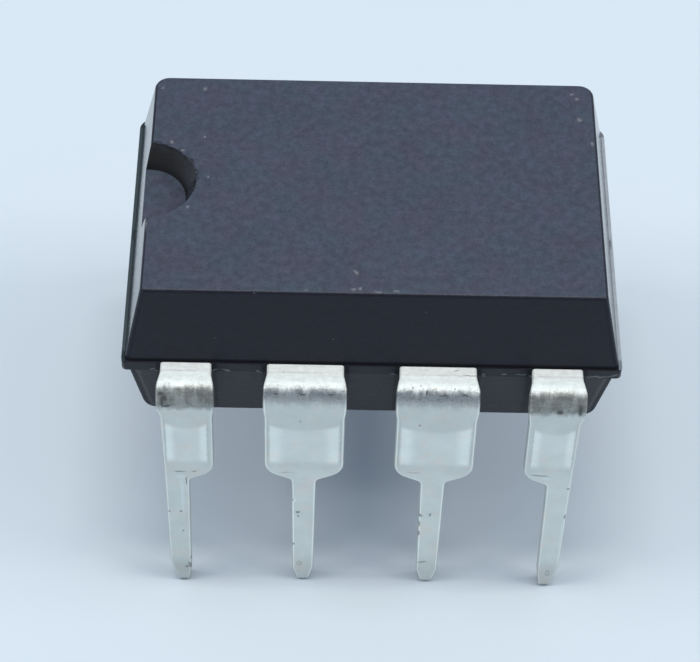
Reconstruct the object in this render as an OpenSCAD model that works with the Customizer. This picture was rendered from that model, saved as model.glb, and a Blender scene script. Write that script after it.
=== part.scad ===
// Dual in-line package with eight leads: a moulded body round a stamped lead frame,
// with a chip on its paddle and a bond wire to each lead.
// The package stands on its lead tips. X runs along the body with the index notch at -X,
// Y runs across the two rows, Z is up, and the origin is on the plane of the tips.
// Lead 1 is at -X -Y; the count goes along -Y to +X, then back along +Y.

/* [Body] */
// Length of both halves where they meet the lead frame
body_len = 9.47; // [9.3:0.01:9.6]
// Width of both halves where they meet the lead frame
body_wid = 6.38; // [6.2:0.01:6.5]
// Height of the upper half above the lead frame
upper_h = 1.65; // [1.4:0.01:1.9]
// Height of the lower half below the lead frame
lower_h = 1.53; // [1.3:0.01:1.7]
// Draft of the upper half's long sides, in degrees
upper_side_draft = 13; // [8:0.5:14]
// Draft of the upper half's ends, in degrees
upper_end_draft = 11.8; // [9:0.1:13]
// Draft of the lower half's sides and ends, in degrees
lower_draft = 9.3; // [7:0.1:12]
// Radius of the upright corners at +Y, on the upper half and the rim
back_corner_r = 0.28; // [0.2:0.01:0.35]
// Radius of the sharper upright corners at -Y, on the upper half and the rim
front_corner_r = 0.1; // [0.07:0.01:0.2]
// Radius of the upright corners of the lower half
lower_corner_r = 0.28; // [0.15:0.01:0.35]
// Radius along the edges of the top and bottom faces
edge_r = 0.06; // [0.03:0.01:0.1]
// How far the flash rim stands out past the ends
rim_end = 0.065; // [0.04:0.005:0.12]
// How far the flash rim stands out past the long sides
rim_side = 0.02; // [0.01:0.01:0.05]

/* [Index notch] */
// Radius of the notch at the top face
notch_r = 0.985; // [0.8:0.005:1.2]
// Depth of the notch
notch_depth = 0.55; // [0.4:0.01:0.7]
// Lean of the notch's wall, in degrees
notch_draft = 21.5; // [10:0.5:30]
// Distance from the body's middle to the centre of the notch
notch_at = 4.45; // [4.35:0.01:4.48]

/* [Leads] */
// Distance between neighbouring leads of a row
lead_pitch = 2.54; // [2.5:0.01:2.56]
// Distance between the two rows, measured at the bends
row_spacing = 7.69; // [7.6:0.01:7.9]
// Height of the body's underside above the lead tips
stand_h = 4.07; // [3.95:0.01:4.5]
// Thickness of the lead frame
lead_t = 0.25; // [0.2:0.01:0.3]
// Inner radius of a bend
bend_r = 0.15; // [0.1:0.01:0.2]
// Outward splay of the inner leads' legs, in degrees
lead_splay = 2.8; // [0:0.1:8]
// Outward splay of the end leads' legs, in degrees
end_splay = 3.4; // [0:0.1:8]
// Width of a lead where it leaves the body
exit_w = 1.475; // [1.3:0.005:1.5]
// Width of a shoulder
shoulder_w = 1.55; // [1.51:0.01:1.7]
// How far the cut dam bar stands out from each edge of a shoulder
dam_stub = 0.025; // [0.01:0.005:0.05]
// Distance from the bend's start to the dam bar, as a share of the bend's inner radius
dam_at = 0.65; // [0:0.05:0.8]
// Run over which a lead widens to the dam bar
dam_ramp = 0.27; // [0.1:0.01:0.3]
// How far the dam bar reaches below the lead frame
dam_drop = 0.25; // [0.2:0.01:0.35]
// Height over which the dam bar fades into the shoulder
dam_fade = 0.2; // [0.1:0.01:0.3]
// Radius of a shoulder's lower corner
shoulder_r = 0.37; // [0.1:0.01:0.4]
// Slope of a shoulder's foot, in degrees
foot_slope = 26; // [15:0.5:40]
// Radius where the foot runs into the narrow leg
foot_r = 0.1; // [0.05:0.01:0.15]
// Length of the narrow leg, from the tip to the foot
leg_len = 3.27; // [2.9:0.01:3.4]
// Width of the narrow leg at the foot
leg_w = 0.485; // [0.44:0.005:0.55]
// Width of the narrow leg where the tip begins
leg_low_w = 0.43; // [0.35:0.01:0.43]
// Height of the tapered tip
tip_h = 0.42; // [0.3:0.01:0.6]
// Height of the taper at the outer edge of an end lead
end_tip_h = 0.62; // [0.4:0.01:0.8]
// Width of the flat end of a tip
tip_w = 0.23; // [0.15:0.01:0.3]
// Width of an end lead outside the centre of its leg
end_half_w = 0.235; // [0.2:0.005:0.3]
// How far the cut dam bar stands out at the outer edge of an end lead
end_stub = 0.065; // [0.03:0.005:0.1]
// How far the narrow leg of an end lead sits inwards
end_shift = 0.05; // [0:0.01:0.1]
// How far the tip of an end lead sits further inwards
end_tip_shift = 0.055; // [0:0.005:0.08]

/* [Lead fingers] */
// Gap between the paddle and the lead fingers
finger_gap = 0.3; // [0.2:0.01:0.35]
// Width of a finger at its inner end
finger_w = 0.6; // [0.5:0.01:0.7]
// Length over which a lead keeps its width inside the body
finger_root = 0.5; // [0.3:0.01:0.6]
// Length over which a finger narrows from there
finger_neck = 0.5; // [0.3:0.01:0.55]
// Length of a corner finger's straight inner side
corner_finger_run = 0.75; // [0.6:0.01:0.8]
// How much shorter its outer side is
corner_finger_cut = 0.15; // [0.05:0.01:0.2]

/* [Chip and paddle] */
// Length of the paddle that carries the chip
paddle_len = 3.1; // [2.6:0.05:3.2]
// Width of the paddle
paddle_wid = 2.3; // [2:0.05:2.4]
// How far the paddle is set below the lead frame
downset = 0.2; // [0.1:0.01:0.24]
// Width of the tie bars that held the paddle in its frame
tie_w = 0.24; // [0.2:0.01:0.4]
// Depth of the nick where a tie bar was cut
tie_nick = 0.025; // [0.01:0.005:0.04]
// Length of a tie bar's stretch at the paddle's level
tie_run = 0.2; // [0.1:0.01:0.3]
// Length of the slanted stretch where a tie bar steps up
tie_slant = 0.35; // [0.3:0.01:0.5]
// Length of the chip
chip_len = 1.8; // [1.6:0.05:2]
// Width of the chip
chip_wid = 1.5; // [1.4:0.05:1.8]
// Thickness of the chip
chip_t = 0.3; // [0.25:0.01:0.35]
// Thickness of the glue under the chip
glue_t = 0.03; // [0.02:0.005:0.05]
// Margin of glue round the chip
glue_margin = 0.06; // [0.03:0.01:0.1]

/* [Bond wires] */
// Diameter of a bond wire
wire_d = 0.05; // [0.04:0.005:0.055]
// Diameter of the flattened ends of a wire
bond_d = 0.12; // [0.11:0.005:0.14]
// Height of the flattened ends
bond_h = 0.045; // [0.045:0.005:0.06]
// Rise of a wire above the line between its ends
loop_h = 0.3; // [0.25:0.01:0.4]
// Distance from a pad's centre to the chip's edge
pad_margin = 0.12; // [0.1:0.01:0.15]
// Distance from a bond to the end of its finger
bond_margin = 0.2; // [0.15:0.01:0.25]

/* [Hidden] */
$fn = 48;

// Sides of a wire's round section
wire_fn = 16;
// How far cutting shapes reach past the surfaces they cut
past = 1;

// Levels, from the lead tips upwards
frame_z = stand_h + lower_h;
frame_top = frame_z + lead_t;
body_top = frame_top + upper_h;
paddle_z = frame_z - downset;
chip_z = paddle_z + lead_t + glue_t;
chip_top = chip_z + chip_t;

// Outline of the flash rim, measured from the middle
rim_x = body_len / 2 + rim_end;
rim_y = body_wid / 2 + rim_side;

// Bend of a lead
bend_outer_r = bend_r + lead_t;
bend_y = row_spacing / 2 - bend_r - lead_t / 2;
bend_z = frame_top - bend_outer_r;

// Outline of a lead; the dam bar lies where the bend begins
dam_half_w = shoulder_w / 2 + dam_stub;
dam_y = bend_y + dam_at * bend_r;
dam_z = frame_z - dam_drop;
end_x = 1.5 * lead_pitch;
leg_reach = bend_y + bend_outer_r + past;

// Fingers inside the body
finger_root_y = body_wid / 2 - finger_root;
finger_neck_y = finger_root_y - finger_neck;
finger_end_y = paddle_wid / 2 + finger_gap;
corner_finger_x = paddle_len / 2 + finger_gap;
corner_finger_y = tie_w / 2 + finger_gap;

// Where a tie bar begins to step up, and where it has reached the lead frame
tie_low_x = paddle_len / 2 + tie_run;
tie_high_x = tie_low_x + tie_slant;

// Places of the bonds
inner_pad = [chip_len / 4, chip_wid / 2 - pad_margin];
corner_pad = [chip_len / 2 - pad_margin, chip_wid / 5];
inner_bond = [lead_pitch / 2, finger_end_y + bond_margin];
corner_bond = [corner_finger_x + finger_w / 2, corner_finger_y + bond_margin];

function unit(v) = v / norm(v);
function lead_x(n) = (n <= 4 ? n - 2.5 : 6.5 - n) * lead_pitch;
function at_end(n) = abs(lead_x(n)) > lead_pitch;

// Moves a shape made in the +X +Y quarter to the quarter of lead n
module in_quarter(n) {
    mirror([lead_x(n) < 0 ? 1 : 0, 0, 0]) mirror([0, n <= 4 ? 1 : 0, 0]) children();
}

// Half of the body: base on z = 0, drafted upwards, with upright corners of radius back_r
// at +Y and front_r at -Y
module drafted_half(h, side_draft, end_draft, back_r, front_r) {
    difference() {
        intersection() {
            rotate([90, 0, 90]) translate([0, 0, -body_len])
                linear_extrude(2 * body_len) draft_profile(body_wid, h, side_draft);
            rotate([90, 0, 0]) translate([0, 0, -body_wid])
                linear_extrude(2 * body_wid) draft_profile(body_len, h, end_draft);
        }
        for (sx = [0, 1]) mirror([sx, 0, 0]) {
            corner_waste(back_r, h, side_draft, end_draft);
            mirror([0, 1, 0]) corner_waste(front_r, h, side_draft, end_draft);
        }
    }
}

// Section of a drafted half: a trapezoid with rounded upper corners
module draft_profile(base, h, draft) {
    top_x = base / 2 - h * tan(draft);
    round_at = [top_x - edge_r * tan((90 - draft) / 2), h - edge_r];
    difference() {
        polygon([[-base / 2, 0], [base / 2, 0], [top_x, h], [-top_x, h]]);
        for (side = [0, 1]) mirror([side, 0]) arc_waste(round_at, edge_r, draft, 90);
    }
}

// What is cut off a sharp corner to leave an arc of radius r about c, from angle a to b:
// a wedge with its point at c, less the circle
module arc_waste(c, r, a, b) {
    mid = (a + b) / 2;
    difference() {
        polygon([c, c + 2 * r * [cos(a), sin(a)], c + 3 * r * [cos(mid), sin(mid)],
            c + 2 * r * [cos(b), sin(b)]]);
        translate(c) circle(r);
    }
}

// Waste outside an upright corner of radius r of a drafted half, at +X +Y. The cylinder
// touches both drafted faces, so its axis leans along the line where they would meet.
module corner_waste(r, h, side_draft, end_draft) {
    side_n = [0, cos(side_draft), sin(side_draft)];
    end_n = [cos(end_draft), 0, sin(end_draft)];
    up = unit([-tan(end_draft), -tan(side_draft), 1]);
    out = unit(side_n + end_n);
    across = cross(up, out);
    half_chord = r * norm(side_n - end_n) / 2;
    chord_at = sqrt(r * r - half_chord * half_chord);
    multmatrix([
        [out[0], across[0], up[0], body_len / 2 - r / cos(end_draft)],
        [out[1], across[1], up[1], body_wid / 2 - r / cos(side_draft)],
        [out[2], across[2], up[2], 0],
        [0, 0, 0, 1]
    ])
        difference() {
            translate([chord_at, -half_chord, -past])
                cube([r, 2 * half_chord, h + 2 * past]);
            translate([0, 0, -2 * past]) cylinder(r = r, h = h + 4 * past);
        }
}

// Rim of moulding compound as thick as the lead frame, left where the mould halves met
module flash_rim() {
    translate([0, 0, frame_z]) linear_extrude(lead_t) difference() {
        square([2 * rim_x, 2 * rim_y], center = true);
        for (sx = [0, 1]) mirror([sx, 0]) {
            rim_corner(back_corner_r);
            mirror([0, 1]) rim_corner(front_corner_r);
        }
    }
}

module rim_corner(r) {
    arc_waste([rim_x - r, rim_y - r], r, 0, 90);
}

// Half-round recess in the top face, open at the end
module index_notch() {
    floor_r = notch_r - notch_depth * tan(notch_draft);
    over_r = notch_r + past * tan(notch_draft);
    translate([-notch_at, 0, body_top - notch_depth])
        cylinder(r1 = floor_r, r2 = over_r, h = notch_depth + past);
}

// Nicks in the flash rim where the tie bars were cut off. Each reaches back along its bar,
// so that the two cuts overlap.
module tie_nicks() {
    for (side = [0, 1])
        mirror([side, 0, 0])
            translate([rim_x - 2 * tie_nick, -tie_w / 2, frame_z]) cube([past, tie_w, lead_t]);
}

// Distance of a leg's face from the package's middle at height z, for a face that
// continues an arc of radius r round the bend
function leg_face(r, splay, z) = bend_y + r * cos(splay)
    + (bend_z + r * sin(splay) - z) * tan(splay);

// Everything under the face of radius r: below the straight part, inside the leg
module under_face(r, splay, low) {
    difference() {
        polygon([[-past, low], [-past, bend_z + r],
            [leg_face(r, splay, bend_z + r), bend_z + r], [leg_face(r, splay, low), low]]);
        arc_waste([bend_y, bend_z], r, splay, 90);
    }
}

// Side view of a lead, Y against Z: straight from the body, round the bend, down the leg
module lead_side(splay) {
    difference() {
        under_face(bend_outer_r, splay, 0);
        under_face(bend_r, splay, -past);
    }
}

// Slanted foot of a shoulder on a leg that is shifted inwards
function foot_x(shift) = leg_w / 2 + shift;
function corner_z(shift) = leg_len + (shoulder_w / 2 - foot_x(shift)) * tan(foot_slope);
function tangent_len(r) = r * tan((90 - foot_slope) / 2);

// Edge beside the dam bar, seen from the front and running downwards. It widens past the
// dam bar's own width, which the plan of the lead sets.
function dam_edge(half_w, stub) = [
    [leg_reach, frame_top + past],
    [leg_reach, dam_z + dam_fade / 2],
    [half_w + 1.5 * stub, dam_z + dam_fade / 2],
    [half_w, dam_z - dam_fade]
];

// Edge of a shoulder down to the narrow leg
function shoulder_edge(shift) = concat(dam_edge(shoulder_w / 2, dam_stub), [
    [shoulder_w / 2, corner_z(shift)],
    [foot_x(shift) + tangent_len(foot_r) * cos(foot_slope),
        leg_len + tangent_len(foot_r) * sin(foot_slope)],
    [foot_x(shift), leg_len - tangent_len(foot_r)]
]);

// Edge of the narrow leg down to a tip whose taper has the height h
function leg_edge(shift, tip_shift, h) = [
    [shift + leg_low_w / 2, h],
    [shift + tip_shift + tip_w / 2, 0]
];

// Edge of a lead on its outer side
function outer_edge(end) = end
    ? concat(dam_edge(end_half_w, end_stub), [[foot_x(-end_shift), leg_len]],
        leg_edge(-end_shift, -end_tip_shift, end_tip_h))
    : concat(shoulder_edge(0), leg_edge(0, 0, tip_h));

// Edge of a lead on its inner side, as seen in a mirror
function inner_edge(end) = end
    ? concat(shoulder_edge(end_shift), leg_edge(end_shift, end_tip_shift, tip_h))
    : outer_edge(false);

// The same points in the opposite order, mirrored
function mirrored(points) = [for (i = [len(points) - 1:-1:0]) [-points[i][0], points[i][1]]];

// Front view of a lead, X against Z, with x = 0 at its place in the row
module lead_front(end) {
    sides = end ? [1] : [0, 1];
    shift = end ? end_shift : 0;
    round_at = [shoulder_w / 2 - shoulder_r, corner_z(shift) + tangent_len(shoulder_r)];
    difference() {
        polygon(concat(outer_edge(end), mirrored(inner_edge(end))));
        for (side = sides) mirror([side, 0]) {
            arc_waste(round_at, shoulder_r, foot_slope - 90, 0);
            translate([foot_x(shift) + foot_r, leg_len - tangent_len(foot_r)]) circle(foot_r);
        }
    }
}

// Edge of a lead seen from above, from the finger's root out over the bend
function exit_edge(exit_half, dam_half) = [
    [exit_half, finger_root_y],
    [exit_half, dam_y - dam_ramp],
    [dam_half, dam_y],
    [dam_half, leg_reach]
];

// Plan of a lead, X against Y, with x = 0 at its place in the row
module lead_plan(end) {
    inner = exit_edge(exit_w / 2, dam_half_w);
    outer = end ? exit_edge(end_half_w, end_half_w + end_stub) : inner;
    finger = end
        ? [
            [corner_finger_x - end_x, corner_finger_y + corner_finger_run],
            [corner_finger_x - end_x, corner_finger_y],
            [corner_finger_x + finger_w - end_x, corner_finger_y],
            [corner_finger_x + finger_w - end_x,
                corner_finger_y + corner_finger_run - corner_finger_cut]
        ]
        : [
            [-finger_w / 2, finger_neck_y], [-finger_w / 2, finger_end_y],
            [finger_w / 2, finger_end_y], [finger_w / 2, finger_neck_y]
        ];
    polygon(concat(finger, outer, mirrored(inner)));
}

// A lead is what its side view, front view and plan have in common
module lead(n) {
    end = at_end(n);
    in_quarter(n) translate([abs(lead_x(n)), 0, 0])
        intersection() {
            rotate([90, 0, 90]) translate([0, 0, -end_x]) linear_extrude(end_x + past)
                lead_side(end ? end_splay : lead_splay);
            rotate([90, 0, 0]) translate([0, 0, -leg_reach]) linear_extrude(leg_reach)
                lead_front(end);
            linear_extrude(frame_top + past) lead_plan(end);
        }
}

// Paddle with its two tie bars, which step up to the lead frame
module paddle() {
    translate([-paddle_len / 2, -paddle_wid / 2, paddle_z])
        cube([paddle_len, paddle_wid, lead_t]);
    for (side = [0, 1])
        mirror([side, 0, 0]) rotate([90, 0, 0]) translate([0, 0, -tie_w / 2])
            linear_extrude(tie_w) polygon([
                [0, paddle_z], [tie_low_x, paddle_z], [tie_high_x, frame_z],
                [rim_x - tie_nick, frame_z], [rim_x - tie_nick, frame_top],
                [tie_high_x, frame_top], [tie_low_x, paddle_z + lead_t],
                [0, paddle_z + lead_t]
            ]);
}

// The glue, the chip and the wires can reach further down by a sink. Their cuts in the
// moulding compound then overlap what they rest on.
module glue(sink = 0) {
    translate([-chip_len / 2 - glue_margin, -chip_wid / 2 - glue_margin,
        paddle_z + lead_t - sink])
        cube([chip_len + 2 * glue_margin, chip_wid + 2 * glue_margin, glue_t + sink]);
}

module chip(sink = 0) {
    translate([-chip_len / 2, -chip_wid / 2, chip_z - sink])
        cube([chip_len, chip_wid, chip_t + sink]);
}

// Bond wire of lead n: an arc from the chip's pad to the finger, flattened at both ends
module bond_wire(n, sink = 0) {
    pad = at_end(n) ? corner_pad : inner_pad;
    bond = at_end(n) ? corner_bond : inner_bond;
    run = norm(bond - pad);
    drop = chip_top - frame_top;
    chord = sqrt(run * run + drop * drop);
    half_turn = 2 * atan(2 * loop_h / chord);
    arc_r = chord / 2 / sin(half_turn);
    in_quarter(n) {
        translate([pad[0], pad[1], chip_top - sink]) cylinder(d = bond_d, h = bond_h + sink);
        translate([bond[0], bond[1], frame_top - sink]) cylinder(d = bond_d, h = bond_h + sink);
        translate([pad[0], pad[1], chip_top + bond_h / 2])
            rotate([0, 0, atan2(bond[1] - pad[1], bond[0] - pad[0])]) rotate([90, 0, 0])
            rotate([0, 0, -atan(drop / run)]) translate([chord / 2, -arc_r * cos(half_turn), 0])
            rotate([0, 0, 90 - half_turn]) rotate_extrude(angle = 2 * half_turn)
            translate([arc_r, 0]) circle(d = wire_d, $fn = wire_fn);
    }
}

// Moulding compound, with room for all that it is moulded round
module molded_body() {
    color("#2b2d33") difference() {
        union() {
            translate([0, 0, frame_top])
                drafted_half(upper_h, upper_side_draft, upper_end_draft,
                    back_corner_r, front_corner_r);
            translate([0, 0, frame_z]) mirror([0, 0, 1])
                drafted_half(lower_h, lower_draft, lower_draft, lower_corner_r, lower_corner_r);
            flash_rim();
        }
        index_notch();
        tie_nicks();
        paddle();
        glue(glue_t);
        chip(glue_t);
        for (n = [1:8]) {
            lead(n);
            bond_wire(n, bond_h);
        }
    }
}

module lead_1() { color("#b9c2c9") lead(1); }
module lead_2() { color("#b9c2c9") lead(2); }
module lead_3() { color("#b9c2c9") lead(3); }
module lead_4() { color("#b9c2c9") lead(4); }
module lead_5() { color("#b9c2c9") lead(5); }
module lead_6() { color("#b9c2c9") lead(6); }
module lead_7() { color("#b9c2c9") lead(7); }
module lead_8() { color("#b9c2c9") lead(8); }
module die_paddle() { color("#b9c2c9") paddle(); }
module die_attach() { color("#8d8f94") glue(); }
module die() { color("#4a5568") chip(); }
module bond_wire_1() { color("#d9b34a") bond_wire(1); }
module bond_wire_2() { color("#d9b34a") bond_wire(2); }
module bond_wire_3() { color("#d9b34a") bond_wire(3); }
module bond_wire_4() { color("#d9b34a") bond_wire(4); }
module bond_wire_5() { color("#d9b34a") bond_wire(5); }
module bond_wire_6() { color("#d9b34a") bond_wire(6); }
module bond_wire_7() { color("#d9b34a") bond_wire(7); }
module bond_wire_8() { color("#d9b34a") bond_wire(8); }

molded_body();
lead_1();
lead_2();
lead_3();
lead_4();
lead_5();
lead_6();
lead_7();
lead_8();
die_paddle();
die_attach();
die();
bond_wire_1();
bond_wire_2();
bond_wire_3();
bond_wire_4();
bond_wire_5();
bond_wire_6();
bond_wire_7();
bond_wire_8();
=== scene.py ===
import math
from functools import partialmethod

import bmesh
import bpy
from mathutils import Matrix, Vector


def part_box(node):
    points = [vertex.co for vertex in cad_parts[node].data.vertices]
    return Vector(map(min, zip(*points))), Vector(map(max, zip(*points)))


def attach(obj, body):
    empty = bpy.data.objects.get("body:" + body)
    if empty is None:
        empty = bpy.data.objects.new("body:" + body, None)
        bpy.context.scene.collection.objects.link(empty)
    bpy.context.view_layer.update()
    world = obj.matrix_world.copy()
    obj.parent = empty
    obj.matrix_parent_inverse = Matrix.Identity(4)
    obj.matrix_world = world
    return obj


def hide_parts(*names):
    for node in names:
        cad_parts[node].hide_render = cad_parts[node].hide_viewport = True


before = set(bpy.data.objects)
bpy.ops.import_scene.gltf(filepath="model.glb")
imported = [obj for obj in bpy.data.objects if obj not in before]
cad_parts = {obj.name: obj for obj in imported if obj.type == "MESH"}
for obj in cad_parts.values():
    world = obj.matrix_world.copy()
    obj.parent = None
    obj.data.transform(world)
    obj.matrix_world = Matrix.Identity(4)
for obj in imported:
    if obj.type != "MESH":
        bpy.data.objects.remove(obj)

# The package stands on its lead tips, with the index notch at -X and lead 1 at -X -Y.
# Sizes are in metres, in the same frame as the solids.

bl_info = {
    "name": "Dual In-Line Package",
    "version": (1, 0, 0),
    "blender": (4, 5, 0),
    "location": "3D View > Sidebar > Package",
    "description": "Dresses an eight-lead moulded chip package and sets up its studio",
    "category": "Object",
}

MM = 0.001
# Places closer than this count as the same
SMALL = 0.001 * MM
# Further than any mark reaches, in sizes of the mark
FAR_AWAY = 10.0
CORNER_SEGMENTS = 8
EDGE_SEGMENTS = 3
NOTCH_SEGMENTS = 96
BEND_STEPS = 14
WORN_EDGE_ANGLE = math.radians(35.0)
BODY_SHARP_ANGLE = math.radians(30.0)
LEAD_SHARP_ANGLE = math.radians(35.0)
LAMP_TARGET = Vector((0.0, 0.0, 4.0 * MM))
# Small dents in the edges of narrow legs: lead, side (1 is away from the package's middle),
# place along the blank, depth and half height, in millimetres
DENTS = {2: [(1.0, 3.45, 0.035, 0.05)], 3: [(-1.0, 3.87, 0.025, 0.05)]}
# Marks on the plating: lead, then place and half size (across, along) in millimetres on the
# developed blank, turn in degrees
DARK_MARKS = {
    1: [(0.14, 0.42, 0.055, 0.06, 0), (0.10, 0.61, 0.08, 0.035, 10), (0.20, 0.34, 0.05, 0.035, 0),
        (0.18, 0.52, 0.028, 0.13, 0), (-0.11, 2.56, 0.1, 0.018, 0), (-0.39, 2.55, 0.05, 0.016, 0),
        (-0.23, 2.85, 0.012, 0.12, 0), (-0.27, 5.33, 0.025, 0.06, 0), (-0.24, 5.58, 0.03, 0.1, 15),
        (-0.17, 5.62, 0.04, 0.03, 30), (-0.10, 3.815, 0.03, 0.025, 0), (0.135, 3.823, 0.03, 0.018, 0),
        (-0.13, 4.44, 0.022, 0.025, 20)],
    2: [(0.115, 3.82, 0.042, 0.035, 0), (0.105, 3.95, 0.02, 0.03, 30), (0.2, 4.87, 0.028, 0.03, 0),
        (0.082, 0.994, 0.014, 0.018, 0), (0.36, 2.56, 0.14, 0.006, 3), (-0.5, 0.3, 0.06, 0.014, 0),
        (0.05, 0.3, 0.07, 0.014, 5), (0.55, 0.29, 0.05, 0.014, -8)],
    3: [(0.62, -0.17, 0.12, 0.008, 0), (0.345, -0.28, 0.05, 0.008, 0), (-0.337, 0.093, 0.014, 0.016, 0),
        (-0.489, 0.137, 0.012, 0.014, 0), (0.31, 0.142, 0.014, 0.016, 0), (-0.222, 0.229, 0.02, 0.05, 15),
        (0.5, 0.26, 0.07, 0.016, 10), (0.1, 0.28, 0.09, 0.014, -5), (-0.324, 1.054, 0.016, 0.026, 0),
        (-0.38, 2.5, 0.14, 0.006, 5), (-0.19, 3.87, 0.035, 0.04, 20), (-0.007, 3.83, 0.025, 0.05, 0),
        (-0.21, 4.139, 0.02, 0.09, 0), (-0.206, 4.45, 0.018, 0.08, 0), (-0.1, 5.41, 0.08, 0.02, -12)],
    4: [(-0.21, 0.59, 0.06, 0.065, 0), (0.176, 0.56, 0.045, 0.13, 0), (-0.45, 2.5, 0.16, 0.016, 4),
        (0.14, 2.895, 0.03, 0.025, 0), (0.147, 3.78, 0.02, 0.07, 0)],
}
# Painted highlights on the plating, as above: glints at the bend's top and light strips along the legs'
# edges, with a few pale marks
HIGHLIGHTS_AND_PALE_MARKS = {
    1: [(-0.1, 0.15, 0.1, 0.06, 0), (-0.12, 2.72, 0.09, 0.05, 0), (-0.14, 3.3, 0.035, 0.55, 0)],
    2: [(0.3, 0.0, 0.06, 0.1, 0), (-0.12, 0.02, 0.1, 0.09, 10)],
    3: [(-0.35, 0.02, 0.12, 0.08, 0), (0.45, 0.05, 0.1, 0.1, 0)],
    4: [(-0.012, 5.2, 0.018, 0.03, 0), (-0.32, 2.6, 0.1, 0.03, 0), (0.12, 4.4, 0.025, 0.5, 0)],
}
# Ring-shaped stains: place and half size of each, as above
RING_MARKS = {
    2: [(0.08, 5.517, 0.05, 0.075, 0)],
    4: [(-0.05, 5.64, 0.045, 0.09, 0)],
}
# Small light chips and specks on the moulding's top face: place (x, y), half size (x, y), turn
TOP_CHIPS = [
    (-3.985, 1.009, 0.03, 0.03, 0), (-3.746, 0.787, 0.03, 0.03, 0), (-3.609, -0.689, 0.03, 0.03, 0),
    (-3.595, 0.243, 0.025, 0.03, 0), (-3.343, 1.162, 0.02, 0.03, 0), (-3.242, 0.086, 0.02, 0.03, 0),
    (-0.334, -2.262, 0.03, 0.05, 30), (-0.392, -2.702, 0.04, 0.03, 20), (-0.266, -2.667, 0.03, 0.03, 0),
    (-1.283, -2.724, 0.05, 0.02, 0), (0.066, -2.745, 0.06, 0.02, 0), (0.422, -2.728, 0.05, 0.02, 0),
    (-4.385, -1.08, 0.012, 0.22, 9), (-4.253, 2.503, 0.03, 0.04, 0), (3.944, 2.521, 0.04, 0.03, 0),
    (4.059, 2.412, 0.03, 0.04, 0), (-3.401, 2.491, 0.04, 0.05, 0), (4.07, 1.829, 0.04, 0.05, 0),
    (4.293, 1.179, 0.03, 0.05, 0),
]
# Flakes of flash along the lead frame's lower edge at the front: place (x, z), half size, turn
FLASH_FLAKES = [
    (-4.21, 5.634, 0.05, 0.02, 40), (-4.15, 5.574, 0.03, 0.02, 0), (-3.06, 5.616, 0.09, 0.02, 20),
    (-2.99, 5.646, 0.05, 0.015, 0), (-2.80, 5.642, 0.09, 0.02, -20), (-2.18, 5.633, 0.03, 0.03, 0),
    (-2.13, 5.557, 0.03, 0.03, -30), (0.42, 5.602, 0.06, 0.02, 0), (2.15, 5.654, 0.03, 0.04, 0),
    (2.17, 5.577, 0.03, 0.03, 0), (2.54, 5.666, 0.05, 0.02, 0), (2.86, 5.672, 0.1, 0.015, 0),
    (3.06, 5.6, 0.05, 0.03, -30), (4.37, 5.645, 0.25, 0.024, 3), (4.66, 5.70, 0.05, 0.03, 30),
]
LEADS = [f"lead_{number}" for number in range(1, 9)]
WIRES = [f"bond_wire_{number}" for number in range(1, 9)]
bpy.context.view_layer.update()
BODY_LOW, BODY_HIGH = (Vector(corner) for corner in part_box("molded_body"))
FRAME_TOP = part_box("lead_2")[1][2]


def length(label, size, about):
    """A size in millimetres, kept in metres."""
    return bpy.props.FloatProperty(
        name=label, description=about, default=size * MM, unit="LENGTH", min=0.0, precision=6)


def degrees(label, size, about):
    """An angle in degrees, kept in radians."""
    return bpy.props.FloatProperty(
        name=label, description=about, default=math.radians(size), subtype="ANGLE")


def colour(label, rgb, about):
    """A colour without alpha."""
    return bpy.props.FloatVectorProperty(
        name=label, description=about, default=rgb, size=3, min=0.0, max=1.0, subtype="COLOR")


def number(label, value, about):
    """A plain number of zero or more."""
    return bpy.props.FloatProperty(
        name=label, description=about, default=value, min=0.0, precision=4)


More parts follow.
